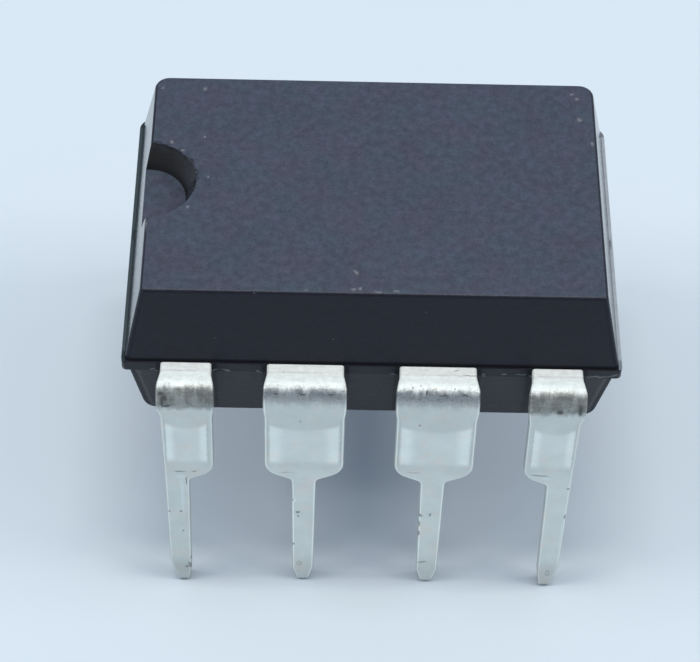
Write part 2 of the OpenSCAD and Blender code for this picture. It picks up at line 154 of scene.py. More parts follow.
class MouldSettings(bpy.types.PropertyGroup):
    """Sizes and colours of the moulded body"""
    length_at_frame: length("Length", 9.47, "Length of both halves at the lead frame")
    width_at_frame: length("Width", 6.38, "Width of both halves at the lead frame")
    upper_side_draft: degrees("Upper side draft", 13.0, "Draft of the upper half's long sides")
    upper_end_draft: degrees("Upper end draft", 11.8, "Draft of the upper half's ends")
    lower_draft: degrees("Lower draft", 9.3, "Draft of the lower half all round")
    back_radius: length("Back corner radius", 0.28, "Radius of the upper half's corners at +Y")
    front_radius: length("Front corner radius", 0.1, "Radius of the upper half's corners at -Y")
    lower_radius: length("Lower corner radius", 0.28, "Radius of the lower half's corners")
    edge_radius: length("Edge radius", 0.06, "Radius along the edges of the flat faces")
    worn_edge: length("Worn edge", 0.015, "Width of the soft edge round the notch and the rim")
    notch_radius: length("Notch radius", 0.985, "Radius of the index notch at the top face")
    notch_depth: length("Notch depth", 0.55, "Depth of the index notch")
    notch_draft: degrees("Notch draft", 21.5, "Lean of the notch's wall")
    notch_centre: length("Notch centre", 4.45, "Distance from the middle to the notch's centre")
    matte: colour("Matte faces", (0.0385, 0.048, 0.07), "Colour of the matte level faces")
    moulded: colour("Steep faces", (0.0045, 0.0052, 0.0125), "Colour of the smoother steep faces")
    chip: colour("Chips", (0.16, 0.165, 0.18), "Colour of chips, flakes and specks")
    notch_wall: colour("Notch wall", (0.0075, 0.006, 0.0055), "Colour of the notch's brownish wall")
    notch_end: colour("Notch end", (0.02, 0.022, 0.028), "Colour of the wall where it is greyer")
    flash: colour("Flash", (0.034, 0.053, 0.063), "Colour of the flash rim at the notched end")
    pale_flash: colour("Pale flash", (0.34, 0.38, 0.42), "Colour of the flash rim at the far end")
    grain: length("Grain", 0.035, "Size of the compound's grain")
    relief: length("Relief", 0.008, "Height of the compound's fine relief")
    steep_roughness: number("Steep roughness", 0.34, "Roughness of the steep faces")
    matte_roughness: number("Matte roughness", 0.5, "Roughness of the matte level faces")
    end_polish: number("End polish", 0.24, "How much smoother the upper half's ends are")
    dulled: number("Dulled", 0.4, "How much rougher the seam and the lower half's ends are")
    specular: number("Specular level", 0.31, "Strength of the compound's reflections")
    # Strength of the painted shade in the seam at the lead frame and beside each lead
    seam_painted_shade: number("Seam shade", 0.45, "Darkness of the seam at the lead frame")
    chip_strength: number("Chip strength", 0.75, "How much of the compound a chip hides")


class LeadSettings(bpy.types.PropertyGroup):
    """Sizes and colours of the leads"""
    pitch: length("Pitch", 2.54, "Distance between neighbouring leads of a row")
    row_spacing: length("Row spacing", 7.69, "Distance between the rows at the bends")
    thickness: length("Thickness", 0.25, "Thickness of the lead frame")
    bend_radius: length("Bend radius", 0.15, "Inner radius of a bend")
    splay: degrees("Splay", 2.8, "Outward splay of the inner leads' legs")
    end_splay: degrees("End splay", 3.4, "Outward splay of the end leads' legs")
    exit_width: length("Exit width", 1.475, "Width of a lead where it leaves the body")
    shoulder_width: length("Shoulder width", 1.55, "Width of a shoulder")
    shoulder_radius: length("Shoulder radius", 0.37, "Radius of a shoulder's lower corner")
    foot_slope: degrees("Foot slope", 26.0, "Slope of a shoulder's foot")
    foot_radius: length("Foot radius", 0.1, "Radius where the foot meets the leg")
    leg_length: length("Leg length", 3.27, "Length of the narrow leg")
    leg_width: length("Leg width", 0.485, "Width of the narrow leg at the foot")
    leg_low_width: length("Lower leg width", 0.43, "Width of the narrow leg above the tip")
    tip_height: length("Tip height", 0.42, "Height of the tapered tip")
    end_tip_height: length("End tip height", 0.62, "Height of an end lead's outer taper")
    tip_width: length("Tip width", 0.23, "Width of the flat end of a tip")
    tip_radius: length("Tip radius", 0.05, "Radius of a tip's corners")
    dam_stub: length("Dam bar stub", 0.025, "How far the cut dam bar stands out")
    flare_before: length("Flare before", 0.14, "Where a lead starts to widen, before the bend")
    flare_after: length("Flare after", 0.187, "Where it is as wide as the dam bar, on the bend")
    dam_drop: length("Dam bar drop", 0.25, "How far the dam bar reaches below the lead frame")
    dam_fade: length("Dam bar fade", 0.2, "Height over which the dam bar fades")
    end_half_width: length("End half width", 0.235, "Width of an end lead outside its leg's centre")
    end_stub: length("End stub", 0.065, "Dam bar stub at the outer edge of an end lead")
    end_shift: length("End shift", 0.05, "How far an end lead's narrow leg sits inwards")
    end_tip_shift: length("End tip shift", 0.055, "How far an end lead's tip sits further inwards")
    sheared_edge: length("Sheared edge", 0.045, "Rounding of the sheared edges")
    tin: colour("Tin", (0.76, 0.805, 0.775), "Colour of the tin plating")
    warm_tin: colour("Warm tin", (0.79, 0.79, 0.74), "Colour of the plating where it has aged")
    frost: colour("Frosted tin", (0.715, 0.75, 0.745), "Colour of the frosted run out of the body")
    # Painted highlight: the colour of the bend's top and of the highlights painted along the legs
    bright: colour("Bright tin", (0.72, 0.785, 0.775), "Colour of the bend's brightest part")
    # Band colours: painted dark reflection on the bend, partly tarnish as well on the end leads
    band: colour("Band", (0.18, 0.205, 0.225), "Colour of the dull band on an inner lead's bend")
    end_band: colour("End band", (0.175, 0.185, 0.17), "Colour of the dull band on an end lead's bend")
    # Also the colour of the painted shade at the tips
    smudge_and_shade: colour("Smudge", (0.06, 0.065, 0.06), "Colour of dark smudges on the plating")
    metal: number("Metal", 0.6, "How metallic the plating is away from the frosted run")
    relief: length("Relief", 0.006, "Height of the plating's fine relief")


class StudioSettings(bpy.types.PropertyGroup):
    """Camera, floor and light of the studio"""
    floor: colour("Floor", (0.595, 0.675, 0.735), "Colour of the floor")
    focal_length: bpy.props.FloatProperty(
        name="Focal length", description="Lens of the camera, in millimetres",
        default=128.64, min=10.0)
    camera_place: bpy.props.FloatVectorProperty(
        name="Camera place", description="Where the camera stands",
        default=(-1.015 * MM, -32.92 * MM, 43.342 * MM), subtype="TRANSLATION", precision=6)
    camera_turn: degrees("Camera turn", 1.103, "Turn of the view about the upright axis")
    camera_pitch: degrees("Camera pitch", 50.806, "How far the view looks down")
    camera_roll: degrees("Camera roll", 1.929, "Roll of the view")
    daylight: colour("Daylight", (0.743363, 0.836283, 1.0), "Colour of the light from all round")
    daylight_strength: number("Daylight strength", 0.63845, "Strength of that light")
    lamplight: colour("Lamplight", (1.0, 0.965, 0.89), "Colour of the lamps")
    top_power: number("Top lamp", 0.0485, "Power of the lamp above, in watts")
    side_power: number("Side lamps", 0.038, "Power of the lamp at each side, in watts")


SETTINGS = {"mould": MouldSettings, "leads": LeadSettings, "studio": StudioSettings}


# Objects and meshes

def linked_object(name, data):
    """A new object in the scene."""
    made = bpy.data.objects.new(name, data)
    bpy.context.collection.objects.link(made)
    return made


def new_object(name, shape):
    """Turns a bmesh into an object at the origin, with its normals outward."""
    bmesh.ops.recalc_face_normals(shape, faces=shape.faces)
    mesh = bpy.data.meshes.new(name)
    shape.to_mesh(mesh)
    shape.free()
    return linked_object(name, mesh)


def finished_object(name, shape, material, replaced):
    """A piece of the package in place of its plain solid."""
    piece = new_object(name, shape)
    piece.data.materials.append(material)
    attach(piece, "root")
    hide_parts(replaced)
    return piece


def apply_modifiers(piece):
    """Replaces a piece's mesh by the one that its modifiers make."""
    graph = bpy.context.evaluated_depsgraph_get()
    mesh = bpy.data.meshes.new_from_object(piece.evaluated_get(graph))
    piece.modifiers.clear()
    piece.data = mesh


def smooth_by_angle(piece, angle):
    """Shades a piece smooth between its sharp edges, with flat faces kept flat."""
    for polygon in piece.data.polygons:
        polygon.use_smooth = True
    for edge in piece.data.edges:
        edge.use_edge_sharp = False
    shape = bmesh.new()
    shape.from_mesh(piece.data)
    for edge in shape.edges:
        edge.smooth = len(edge.link_faces) != 2 or edge.calc_face_angle() < angle
    shape.to_mesh(piece.data)
    shape.free()
    weighted = piece.modifiers.new("weighted", "WEIGHTED_NORMAL")
    weighted.keep_sharp = True
    apply_modifiers(piece)


def block(low, high):
    """A box between two corners."""
    shape = bmesh.new()
    bmesh.ops.create_cube(shape, size=1.0)
    middle = (Vector(low) + Vector(high)) / 2
    spread = Vector(high) - Vector(low)
    bmesh.ops.scale(shape, vec=spread, verts=shape.verts)
    bmesh.ops.translate(shape, vec=middle, verts=shape.verts)
    return shape


def round_corners(shape, vertices, reach, segments):
    """Rounds corners of a flat face, from a distance before each corner."""
    bmesh.ops.bevel(shape, geom=vertices, offset=reach, affect="VERTICES",
                    segments=segments, profile=0.5, material=-1)


def round_edges(shape, edges, radius, segments):
    """Rounds edges with a radius."""
    bmesh.ops.bevel(shape, geom=edges, offset=radius, offset_type="OFFSET",
                    affect="EDGES", segments=segments, profile=0.5, material=-1)


# Materials

class Look:
    """Builds a material's node tree a node at a time."""

    def __init__(self, name):
        self.material = bpy.data.materials.new(name)
        self.material.use_nodes = True
        self.tree = self.material.node_tree
        self.surface = self.tree.nodes["Principled BSDF"]

    def node(self, kind, links=None, **settings):
        """Adds a node with its settings and the values of its inputs."""
        made = self.tree.nodes.new("ShaderNode" + kind)
        for key, value in settings.items():
            setattr(made, key, value)
        for key, value in (links or {}).items():
            self.feed(made.inputs[key], value)
        return made

    def feed(self, socket, value):
        """Links an input to a node's output, or gives it a constant."""
        if isinstance(value, bpy.types.NodeSocket):
            self.tree.links.new(value, socket)
        else:
            socket.default_value = value

    def set(self, **values):
        """Feeds inputs of the surface, with _ for the spaces in their names."""
        for key, value in values.items():
            self.feed(self.surface.inputs[key.replace("_", " ")], value)

    def mapped(self, where, scale=(1.0, 1.0, 1.0), offset=(0.0, 0.0, 0.0)):
        """Coordinates scaled and then moved."""
        return self.node("Mapping", {"Vector": where, "Scale": scale, "Location": offset}).outputs[0]

    def place(self):
        """Object coordinates in millimetres."""
        return self.mapped(self.node("TexCoord").outputs["Object"], (1.0 / MM,) * 3)

    def parts(self, vector):
        """The X, Y and Z of a vector."""
        return self.node("SeparateXYZ", {0: vector}).outputs

    def noise(self, where, scale, detail=4.0, roughness=0.6):
        """A noise value, mostly between 0.3 and 0.7."""
        return self.node("TexNoise", {"Vector": where, "Scale": scale, "Detail": detail,
                                      "Roughness": roughness}).outputs[0]

    def ramp(self, value, low, high, to_low=0.0, to_high=1.0):
        """A soft step from one value to another."""
        return self.node("MapRange", {"Value": value, "From Min": low, "From Max": high,
                                      "To Min": to_low, "To Max": to_high},
                         interpolation_type="SMOOTHSTEP").outputs[0]

    def swing(self, noise, low, high):
        """A noise value spread between two values."""
        return self.ramp(noise, 0.3, 0.7, low, high)

    def window(self, value, low, high, soft):
        """One between two borders."""
        return self.times(self.ramp(value, low - soft, low + soft),
                          self.ramp(value, high - soft, high + soft, 1.0, 0.0))

    def math(self, operation, first, second=0.0):
        """One step of arithmetic."""
        return self.node("Math", {0: first, 1: second}, operation=operation).outputs[0]

    def chain(self, operation, *values):
        """The same step over any number of values."""
        result = values[0]
        for value in values[1:]:
            result = self.math(operation, result, value)
        return result

    plus = partialmethod(chain, "ADD")
    less = partialmethod(chain, "SUBTRACT")
    times = partialmethod(chain, "MULTIPLY")
    most = partialmethod(chain, "MAXIMUM")

    def vector(self, operation, *values):
        """One step of arithmetic with vectors."""
        return self.node("VectorMath", dict(enumerate(values)), operation=operation).outputs[0]

    def distance(self, vector):
        """How far a point is from the origin."""
        return self.node("VectorMath", {0: vector}, operation="LENGTH").outputs["Value"]

    def mix(self, factor, first, second):
        """A colour between two colours."""
        made = self.node("Mix", {0: factor}, data_type="RGBA")
        for socket, rgb in ((6, first), (7, second)):
            self.feed(made.inputs[socket],
                      rgb if isinstance(rgb, bpy.types.NodeSocket) else (*rgb, 1.0))
        return made.outputs[2]

    def scaled(self, rgb, factor):
        """A colour made lighter or darker by a factor."""
        return self.node("VectorMath", {0: rgb, "Scale": factor}, operation="SCALE").outputs[0]

    def darkened(self, rgb, share):
        """A colour that loses a share of its light."""
        return self.scaled(rgb, self.less(1.0, share))

    def bump(self, height, distance):
        """A normal tilted by a height."""
        return self.node("Bump", {"Height": height, "Distance": distance, "Strength": 1.0}).outputs[0]

    def ragged(self, where, scale, amount):
        """The same coordinates, shaken so that drawn borders turn out ragged."""
        shake = self.node("TexNoise", {"Vector": where, "Scale": scale, "Detail": 3.0})
        centred = self.vector("SUBTRACT", shake.outputs["Color"], (0.5, 0.5, 0.5))
        return self.vector("MULTIPLY_ADD", centred, (amount,) * 3, where)

    def blots(self, where, marks, softness, hollow=0.0):
        """One inside any of several small ellipses: (centre, reach, turn) of each.
        A hollow ellipse is a ring."""
        nearest = FAR_AWAY
        for centre, reach, turn in marks:
            local = self.node("Mapping", {"Vector": where, "Location": centre, "Rotation": turn,
                                          "Scale": reach}, vector_type="TEXTURE").outputs[0]
            nearest = self.math("MINIMUM", nearest, self.distance(local))
        inside = self.ramp(nearest, 1.0 - softness, 1.0 + softness, 1.0, 0.0)
        if hollow:
            inside = self.times(inside, self.ramp(nearest, hollow - softness, hollow + softness))
        return inside


def tinged(rgb, red, green, blue):
    """A colour with a factor for each of its parts."""
    return rgb[0] * red, rgb[1] * green, rgb[2] * blue


def painted_shade_at_frame(look, spot, leads):
    """One where shade is painted: in the seam at the upper half's foot and in a narrow strip beside each
    lead.
    """
    pitch = leads.pitch / MM
    top = FRAME_TOP / MM
    out = look.math("ABSOLUTE", spot["X"])
    outer_edge = 1.5 * pitch + leads.end_half_width / MM
    from_gap = look.math("PINGPONG", spot["X"], pitch / 2)
    shoulder_gap = (pitch - leads.shoulder_width / MM) / 2
    exit_gap = (pitch - leads.exit_width / MM) / 2
    beside = look.times(
        look.window(from_gap, shoulder_gap - 0.06, exit_gap + 0.02, 0.02),
        look.ramp(out, outer_edge, outer_edge + 0.1, 1.0, 0.0))
    beside = look.plus(beside, look.window(out, outer_edge - 0.02, outer_edge + 0.09, 0.02))
    beside = look.times(beside, look.ramp(spot["Z"], top - 0.02, top + 0.02, 1.0, 0.0))
    seam = look.window(spot["Z"], top - 0.02, top + 0.08, 0.02)
    long_side = look.ramp(look.math("ABSOLUTE", spot["Y"]), 2.9, 3.0)
    return look.times(look.most(beside, seam), long_side)


def rim_in_sight(look, spot, facing, leads):
    """One on the flash rim's upper side, past the halves' ends and at their back corners."""
    out = look.math("ABSOLUTE", spot["X"])
    low = (FRAME_TOP - leads.thickness) / MM
    past_end = look.ramp(out, 4.725, 4.745)
    past_corner = look.times(look.ramp(out, 4.45, 4.55), look.ramp(spot["Y"], 2.9, 3.0))
    return look.times(
        look.ramp(facing["Z"], 0.3, 0.7),
        look.window(spot["Z"], low - 0.02, FRAME_TOP / MM + 0.01, 0.01),
        look.most(past_end, past_corner))


def wall_colour(look, spot, settings, tint, floor_at):
    """Colour of the notch's wall: greyer at one end and in places at the top, with painted shade making it
    dark at its foot.
    """
    grey = settings.notch_end
    wall = look.mix(look.ramp(spot["Y"], 0.0, 0.75), grey, settings.notch_wall)
    high = look.times(look.ramp(spot["Z"], floor_at + 0.28, floor_at + 0.5), look.ramp(tint, 0.35, 0.6))
    # Painted shade in the corner at the wall's foot
    return look.scaled(
        look.mix(high, wall, grey),
        look.ramp(spot["Z"], floor_at + 0.03, floor_at + 0.22, 0.15, 1.0))


def compound_marks():
    """Chips of the top face and flakes of the front, as (centre, reach, turn)."""
    top, front = BODY_HIGH.z / MM, BODY_LOW.y / MM
    chips = [((x, y, top), (wide, tall, 0.05), (0.0, 0.0, math.radians(turn)))
             for x, y, wide, tall, turn in TOP_CHIPS]
    flakes = [((x, front, z), (wide, 0.1, tall), (0.0, math.radians(-turn), 0.0))
              for x, z, wide, tall, turn in FLASH_FLAKES]
    return chips, flakes


def compound_material(settings, leads):
    """Black moulding compound: matte level faces, smoother steep faces, small chips."""
    look = Look("moulding_compound")
    where = look.place()
    spot = look.parts(where)
    facing = look.parts(look.node("NewGeometry").outputs["Normal"])
    facing_end = look.math("ABSOLUTE", facing["X"])
    top_of_frame = FRAME_TOP / MM
    notch_floor = (BODY_HIGH.z - settings.notch_depth) / MM
    notch_radius = settings.notch_radius / MM
    level = look.times(
        look.ramp(look.math("ABSOLUTE", facing["Z"]), 0.9, 0.995),
        look.ramp(spot["Z"], 6.2, 6.6))
    at_end = look.times(
        look.ramp(facing_end, 0.8, 0.9),
        look.ramp(spot["Z"], top_of_frame - 0.05, top_of_frame))
    from_notch = look.vector("SUBTRACT", where, (-settings.notch_centre / MM, 0.0, 0.0))
    from_notch = look.distance(look.vector("MULTIPLY", from_notch, (1.0, 1.0, 0.0)))
    grain = look.noise(where, MM / settings.grain, 3.0, 0.7)
    mottle = look.noise(where, 6.0, 5.0, 0.7)
    cloud = look.noise(where, 0.9, 3.0)
    tint = look.noise(where, 1.7, 3.0)

    violet = tinged(settings.matte, 1.08, 0.98, 1.04)
    teal = tinged(settings.matte, 0.96, 1.07, 1.06)
    body = look.mix(look.ramp(tint, 0.38, 0.64), violet, teal)
    body = look.mix(level, settings.moulded, body)
    in_notch = look.times(
        look.ramp(from_notch, notch_radius + 0.02, notch_radius - 0.02),
        look.ramp(level, 0.0, 1.0, 1.0, 0.0),
        look.ramp(spot["Z"], notch_floor - 0.1, notch_floor))
    body = look.mix(in_notch, body, wall_colour(look, spot, settings, tint, notch_floor))
    body = look.scaled(body, look.times(
        look.ramp(mottle, 0.32, 0.68, 0.8, 1.2),
        look.ramp(cloud, 0.35, 0.65, 0.96, 1.04),
        look.swing(grain, 0.86, 1.14)))
    cells = look.node("TexVoronoi", {"Vector": look.ragged(where, 30.0, 0.03), "Scale": 4.0})
    cell_values = look.parts(cells.outputs["Color"])
    from_cell = cells.outputs["Distance"]
    pits = look.times(look.ramp(from_cell, 0.05, 0.12, 0.4, 0.0), look.ramp(cell_values["Y"], 0.88, 0.95))
    specks = look.times(look.ramp(from_cell, 0.04, 0.1, 0.28, 0.0), look.ramp(cell_values["X"], 0.9, 0.97))
    body = look.darkened(body, pits)
    crumbled = look.plus(from_notch, look.swing(mottle, -0.06, 0.06))
    crumbled = look.times(
        look.window(crumbled, notch_radius - 0.02, notch_radius + 0.03, 0.02),
        look.ramp(spot["Y"], -0.3, 0.1, 0.0, 0.7))
    body = look.darkened(body, crumbled)
    flash = look.mix(look.ramp(spot["X"], -1.0, 1.0), settings.flash, settings.pale_flash)
    flash = look.scaled(flash, look.swing(mottle, 0.9, 1.1))
    body = look.mix(rim_in_sight(look, spot, facing, leads), body, flash)
    # Painted shade in the seam at the lead frame and beside each lead
    shade = look.times(painted_shade_at_frame(look, spot, leads), settings.seam_painted_shade)
    body = look.darkened(body, shade)
    chips, flakes = compound_marks()
    shaken = look.ragged(where, 9.0, 0.12)
    worn = look.most(look.blots(shaken, chips, 0.7), look.blots(shaken, flakes, 0.5))
    light = look.most(specks, look.times(worn, settings.chip_strength))
    # Black metal where the shade is painted keeps the compound's reflections out of it
    look.set(Base_Color=look.mix(light, body, settings.chip),
               Metallic=look.times(shade, look.less(1.0, light)))

    ledge = look.window(spot["Z"], top_of_frame, top_of_frame + 0.06, 0.02)
    below_frame = look.ramp(spot["Z"], 5.5, 5.58, 1.0, 0.0)
    rough = look.plus(
        look.ramp(level, 0.0, 1.0, settings.steep_roughness, settings.matte_roughness),
        look.swing(mottle, -0.03, 0.03),
        look.times(at_end, -settings.end_polish),
        look.times(ledge, settings.dulled),
        look.times(look.ramp(facing_end, 0.15, 0.5), below_frame, settings.dulled))
    height = look.times(
        look.plus(look.times(grain, 0.5), mottle),
        look.ramp(at_end, 0.0, 1.0, 1.0, 0.15))
    look.set(Roughness=rough, Specular_IOR_Level=settings.specular,
             Normal=look.bump(height, settings.relief))
    return look.material


def blank_marks(table, number):
    """Marks of a lead as centre, reach and turn on its developed blank."""
    return [((across, along, 0.0), (wide, tall, 1.0), (0.0, 0.0, math.radians(turn)))
            for across, along, wide, tall, turn in table.get(number, ())]


def tin_material(settings, number):
    """Tin plating on a formed lead: frosted run, band of painted dark reflection on the bend, coined
    panel, painted highlights and shade, marks.
    """
    look = Look(f"tin_{number}")
    _, _, at_end, forming = lead_place(settings, number)
    bottom = forming.tip / MM
    blank = look.node("UVMap", uv_map="Developed").outputs[0]
    seeded = look.mapped(blank, offset=(0.0, 0.0, 7.3 * number))
    depth = look.node("Attribute", attribute_name="Depth").outputs["Fac"]
    streaks = look.noise(look.mapped(seeded, (3.2, 15.0, 1.0)), 1.0, 4.0, 0.65)
    smears = look.noise(look.mapped(seeded, (9.0, 2.6, 1.0)), 1.0, 3.0, 0.5)
    fine = look.noise(seeded, 26.0, 4.0, 0.65)
    cloud = look.noise(seeded, 2.2)
    blotch = look.noise(seeded, 9.0, 4.0, 0.7)
    tint = look.noise(seeded, 3.1, 3.0)
    shaken = look.ragged(blank, 12.0, 0.05)
    place = look.parts(shaken)
    across, along = place["X"], place["Y"]

    # The frosted run ends where the band of painted dark reflection begins, along an uneven border on the
    # bend; on the end leads the band is partly tarnish as well
    band_end = 0.66 if at_end else 0.54
    band_fade = 0.1 if at_end else 0.26
    uneven = look.plus(along, look.swing(smears, -0.04, 0.04), look.ramp(fine, 0.25, 0.75, -0.03, 0.03))
    run = look.ramp(uneven, 0.06, 0.26, 1.0, 0.0)
    band = look.times(
        look.ramp(uneven, 0.08, 0.3),
        look.ramp(uneven, band_end - band_fade, band_end + 0.1, 1.0, 0.0),
        look.ramp(smears, 0.3, 0.6, 0.72, 1.0),
        look.ramp(streaks, 0.3, 0.6, 0.82, 1.0),
        look.ramp(depth, 0.3, 0.7))

    # The coined panel on the shoulder, with a bowed upper border, painted lighter as a painted reflection,
    # with lighter painted strips along its sides and painted shade in the crease beside it
    middle, half = (-0.26, 0.39) if at_end else (0.0, 0.67)
    offset = look.math("DIVIDE", look.less(across, middle), half)
    bowed = look.plus(along, look.times(offset, offset, 0.14))
    spread = look.math("ABSOLUTE", offset)
    panel = look.times(
        look.ramp(spread, 0.96, 1.04, 1.0, 0.0),
        look.ramp(bowed, 1.2, 1.34),
        look.ramp(along, 2.16, 2.34, 1.0, 0.0))
    crease = look.times(look.window(spread, 1.04, 1.07, 0.02), look.window(along, 0.9, 2.25, 0.1))
    strips = look.times(panel, look.ramp(spread, 0.5, 0.85))
    # Painted shade on the sheared side faces and a painted highlight on the rounded edge at the outer face
    sides = look.window(depth, 0.06, 0.945, 0.015)
    rim = look.window(depth, 0.963, 0.994, 0.005)
    tone = look.plus(
        look.swing(cloud, -0.03, 0.03),
        look.ramp(along, 2.2, 2.8, 0.81, 0.83 if number == 1 else 0.89),
        # Painted reflection on the panel and along its sides, painted shade in the crease
        look.times(panel, 0.11),
        look.times(strips, 0.16),
        look.times(crease, -0.1),
        # Painted highlight on the rounded edge, painted shade on the side faces
        look.times(rim, 0.2 if at_end else 0.33),
        look.times(sides, -0.04),
        # Painted shade: the leg darker towards the tip
        look.ramp(along, bottom - 1.1, bottom - 0.3, 0.0, -0.16 if at_end else -0.12))

    skin = look.mix(look.ramp(tint, 0.45, 0.7), settings.tin, settings.warm_tin)
    skin = look.scaled(skin, tone)
    # Near the bend's top the run takes the painted highlight's colour
    frosted = look.mix(look.ramp(along, -0.2, -0.05), settings.frost, settings.bright)
    frosted = look.scaled(frosted, look.plus(
        look.swing(streaks, 0.93, 1.05), look.swing(blotch, -0.07, 0.07)))
    line = look.window(along, -0.19, -0.15, 0.025)
    frosted = look.darkened(frosted, look.times(line, look.ramp(cloud, 0.35, 0.6, 0.0, 0.2)))
    skin = look.mix(run, skin, frosted)
    # Painted dark reflection on the bend, partly tarnish on the end leads
    skin = look.mix(band, skin, settings.end_band if at_end else settings.band)
    smudge_and_shade = settings.smudge_and_shade
    spots = look.times(
        look.ramp(look.noise(seeded, 17.0, 3.0), 0.64, 0.76, 0.0, 0.22),
        look.ramp(along, 0.5, 3.0, 0.2, 1.0))
    skin = look.mix(spots, skin, smudge_and_shade)
    marks = look.blots(shaken, blank_marks(DARK_MARKS, number), 0.5)
    rings = look.blots(shaken, blank_marks(RING_MARKS, number), 0.25, 0.6)
    freckles = look.times(
        look.ramp(look.noise(seeded, 21.0, 2.0), 0.55, 0.68),
        look.window(along, 0.13, 0.42, 0.06))
    # Painted shade along the tip's lowest edge, where it stands on the floor
    tip_contact_shade = look.ramp(along, bottom - 0.08, bottom - 0.02)
    dark = look.most(
        look.times(marks, look.ramp(along, 0.6, 1.2, 0.9, 0.65)),
        look.times(freckles, 0.4),
        look.times(tip_contact_shade, 0.7),
        look.times(rings, 0.4))
    skin = look.mix(dark, skin, smudge_and_shade)
    # Painted highlights and a few pale marks, in the highlight colour
    light = look.blots(shaken, blank_marks(HIGHLIGHTS_AND_PALE_MARKS, number), 0.6)
    skin = look.mix(look.times(light, 0.6), skin, settings.bright)
    metal = look.less(settings.metal, look.times(run, 0.45), look.times(dark, 0.4))
    rough = look.plus(look.swing(fine, 0.36, 0.46), look.times(run, 0.1))
    height = look.plus(
        look.times(streaks, look.ramp(along, 0.0, 0.8, 0.8, 0.25)),
        look.times(fine, 0.5),
        look.times(panel, -0.7))
    look.set(Base_Color=skin, Metallic=metal, Roughness=rough, Normal=look.bump(height, settings.relief))
    return look.material


def plain_material(name, rgb, metallic, rough, grain_scale):
    """A sealed inner piece: its own colour, lightly mottled, with a fine grain."""
    look = Look(name)
    mottle = look.noise(look.place(), grain_scale)
    darker = tinged(rgb, 0.85, 0.85, 0.85)
    look.set(
        Base_Color=look.mix(look.swing(mottle, 0.0, 1.0), rgb, darker),
        Metallic=metallic, Roughness=look.swing(mottle, rough, rough + 0.1),
        Normal=look.bump(mottle, 0.002 * MM))
    return look.material


# Moulded body

def round_uprights(shape, shortest, back_radius, front_radius):
    """Rounds the four upright edges of a block, with a radius for each long side."""
    for side, radius in ((1.0, back_radius), (-1.0, front_radius)):
        upright = [edge for edge in shape.edges
                   if abs(edge.verts[0].co.z - edge.verts[1].co.z) > shortest
                   and min(side * vertex.co.y for vertex in edge.verts) > 0.0]
        round_edges(shape, upright, radius, CORNER_SEGMENTS)


def mould_half(settings, height, side_draft, end_draft, radii, overlap):
    """Half of the body on z = 0, narrowing upwards and reaching a little below it."""
    half_length = settings.length_at_frame / 2
    half_width = settings.width_at_frame / 2
    shape = block((-half_length, -half_width, 0.0), (half_length, half_width, height))
    for vertex in shape.verts:
        if vertex.co.z > height / 2:
            vertex.co.x -= math.copysign(height * math.tan(end_draft), vertex.co.x)
            vertex.co.y -= math.copysign(height * math.tan(side_draft), vertex.co.y)
    round_uprights(shape, height / 2, *radii)
    rim = [edge for edge in shape.edges if min(vertex.co.z for vertex in edge.verts) > height * 0.999]
    round_edges(shape, rim, settings.edge_radius, EDGE_SEGMENTS)
    base = [face for face in shape.faces if face.normal.z < -0.99]
    sunk = bmesh.ops.extrude_face_region(shape, geom=base)["geom"]
    bmesh.ops.delete(shape, geom=base, context="FACES_ONLY")
    low = [vertex for vertex in sunk if isinstance(vertex, bmesh.types.BMVert)]
    bmesh.ops.translate(shape, vec=(0.0, 0.0, -overlap), verts=low)
    return shape


def combine(piece, helpers):
    """Applies Boolean modifiers, one for each (helper, operation), and removes the helpers."""
    for helper, operation in helpers:
        modifier = piece.modifiers.new("combine", "BOOLEAN")
        modifier.operation = operation
        modifier.object = helper
        modifier.solver = "EXACT"
    apply_modifiers(piece)
    for helper, _ in helpers:
        bpy.data.meshes.remove(helper.data)


